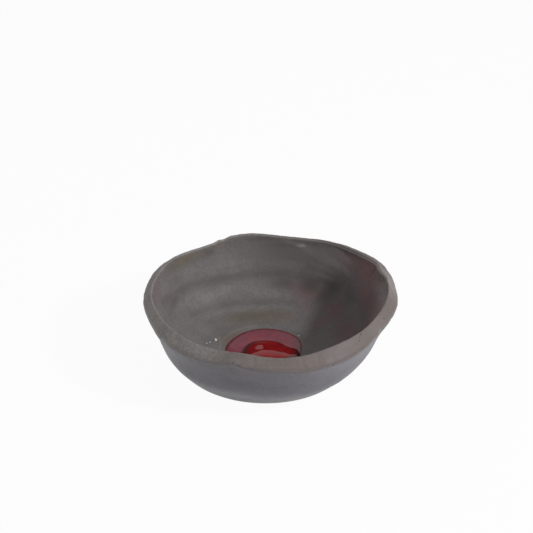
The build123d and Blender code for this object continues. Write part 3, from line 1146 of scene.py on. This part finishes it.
class BOWL_OT_studio(bpy.types.Operator):
    """Set up the pale floor, the lamp, the white surroundings and the camera"""

    bl_idname = "bowl.studio"
    bl_label = "Studio"

    floor_reach = 4.0
    # How white the floor shows to the camera and to reflections, whatever light falls on it.
    floor_seen_white = 0.95
    floor_mirrored_white = 0.9
    # Between these heights of a direction, from 0 level to 1 straight up, reflections darken.
    darker_from = 0.68
    darker_to = 0.85
    lamp_place = (0.715, -0.38, 0.60)
    lamp_aim = (0, 0, 0.02)
    lamp_size = 0.08
    camera_place = (0, -0.8481, 0.5299)
    camera_aim = (0.0017, 0.0288, 0.0492)
    sensor_width = 36

    def execute(self, context):
        scene = context.scene
        studio = scene.bowl_studio
        self.make_floor(studio)
        self.make_surroundings(scene, studio)
        self.make_lamp(studio)
        self.make_camera(scene, studio)
        scene.view_settings.view_transform = "Standard"
        return {"FINISHED"}

    def make_floor(self, studio):
        """A wide pale table that keeps the bowl's shadow and shows white to the camera."""
        mesh = bpy.data.meshes.new("Studio floor")
        reach = self.floor_reach
        corners = [(-reach, -reach, 0), (reach, -reach, 0), (reach, reach, 0), (-reach, reach, 0)]
        mesh.from_pydata(corners, [], [(0, 1, 2, 3)])
        floor = bpy.data.objects.new("Studio_floor", mesh)
        bpy.context.scene.collection.objects.link(floor)
        material = bpy.data.materials.new("Pale table")
        material.use_nodes = True
        tree = material.node_tree
        tree.nodes.clear()
        output = tree.nodes.new("ShaderNodeOutputMaterial")
        diffuse = wire(tree, "ShaderNodeBsdfDiffuse", None, Color=(*studio.floor_colour, 1))
        white = wire(tree, "ShaderNodeEmission", None, Color=(1, 1, 1, 1), Strength=1.0)
        rays = wire(tree, "ShaderNodeLightPath")
        seen = maths(tree, "MULTIPLY", rays.outputs["Is Camera Ray"], self.floor_seen_white)
        mirrored = maths(tree, "MULTIPLY", rays.outputs["Is Glossy Ray"], self.floor_mirrored_white)
        share = maths(tree, "MAXIMUM", seen, mirrored)
        mix = wire(tree, "ShaderNodeMixShader", None, _0=share, _1=diffuse.outputs[0], _2=white.outputs[0])
        tree.links.new(mix.outputs[0], output.inputs["Surface"])
        mesh.materials.append(material)

    def make_surroundings(self, scene, studio):
        """White to the camera, a plain even fill, and reflections that darken high up."""
        world = bpy.data.worlds.new("Studio")
        scene.world = world
        world.use_nodes = True
        tree = world.node_tree
        tree.nodes.clear()
        output = tree.nodes.new("ShaderNodeOutputWorld")
        rays = wire(tree, "ShaderNodeLightPath")
        place = wire(tree, "ShaderNodeTexCoord").outputs["Generated"]
        height = wire(tree, "ShaderNodeSeparateXYZ", None, Vector=place).outputs["Z"]
        mirrored = stretched(tree, height, self.darker_from, self.darker_to, 1.0, studio.upper_level)
        bright = maths(tree, "MAXIMUM", rays.outputs["Is Glossy Ray"], rays.outputs["Is Transmission Ray"])
        levels = maths(tree, "MULTIPLY", bright, maths(tree, "SUBTRACT", mirrored, studio.fill_level))
        level_seen = maths(tree, "ADD", levels, studio.fill_level)
        level_seen = maths(tree, "MAXIMUM", level_seen, rays.outputs["Is Camera Ray"])
        light = wire(tree, "ShaderNodeBackground", None, Color=(1, 1, 1, 1), Strength=level_seen)
        tree.links.new(light.outputs[0], output.inputs["Surface"])

    def make_lamp(self, studio):
        """A square soft box at the right, aimed at the bowl."""
        light = bpy.data.lights.new("Key lamp", "AREA")
        light.energy = studio.key_power
        light.size = self.lamp_size
        lamp = bpy.data.objects.new("Key lamp", light)
        self.point(lamp, self.lamp_place, self.lamp_aim)

    def point(self, thing, place, aim):
        """Put a lamp or a camera in the scene at a place, with its -Z towards its aim."""
        thing.location = place
        thing.rotation_euler = (Vector(aim) - thing.location).to_track_quat("-Z", "Y").to_euler()
        bpy.context.scene.collection.objects.link(thing)

    def make_camera(self, scene, studio):
        """The camera at the photograph's viewing angle."""
        view = bpy.data.cameras.new("Camera")
        view.sensor_width = self.sensor_width
        view.lens = studio.focal_length
        camera = bpy.data.objects.new("Camera", view)
        self.point(camera, self.camera_place, self.camera_aim)
        scene.camera = camera


class BOWL_PT_panel(bpy.types.Panel):
    """The bowl's sizes, colours and pieces"""

    bl_label = "Terra Sigillata Bowl"
    bl_idname = "BOWL_PT_panel"
    bl_space_type = "VIEW_3D"
    bl_region_type = "UI"
    bl_category = "Bowl"

    def draw(self, context):
        for title, group in (
            ("Clay", context.scene.bowl_clay),
            ("Well", context.scene.bowl_well),
            ("Glass", context.scene.bowl_glass),
            ("Studio", context.scene.bowl_studio),
        ):
            box = self.layout.box()
            box.label(text=title)
            for name in group.bl_rna.properties.keys():
                if name not in {"rna_type", "name"}:
                    box.prop(group, name)
        for operator in PIECES:
            self.layout.operator(operator.bl_idname)


GROUPS = {
    "bowl_clay": BowlClay,
    "bowl_well": BowlWell,
    "bowl_glass": BowlGlass,
    "bowl_studio": BowlStudio,
}
PIECES = (BOWL_OT_clay_bowl, BOWL_OT_glass, BOWL_OT_beads, BOWL_OT_studio)


def register():
    for name, group in GROUPS.items():
        bpy.utils.register_class(group)
        setattr(bpy.types.Scene, name, bpy.props.PointerProperty(type=group))
    for operator in PIECES:
        bpy.utils.register_class(operator)
    bpy.utils.register_class(BOWL_PT_panel)


def unregister():
    bpy.utils.unregister_class(BOWL_PT_panel)
    for operator in reversed(PIECES):
        bpy.utils.unregister_class(operator)
    for name, group in reversed(GROUPS.items()):
        delattr(bpy.types.Scene, name)
        bpy.utils.unregister_class(group)


def main():
    register()
    bpy.ops.bowl.clay_bowl()
    bpy.ops.bowl.glass()
    bpy.ops.bowl.beads()
    bpy.ops.bowl.studio()


if __name__ == "__main__":
    main()
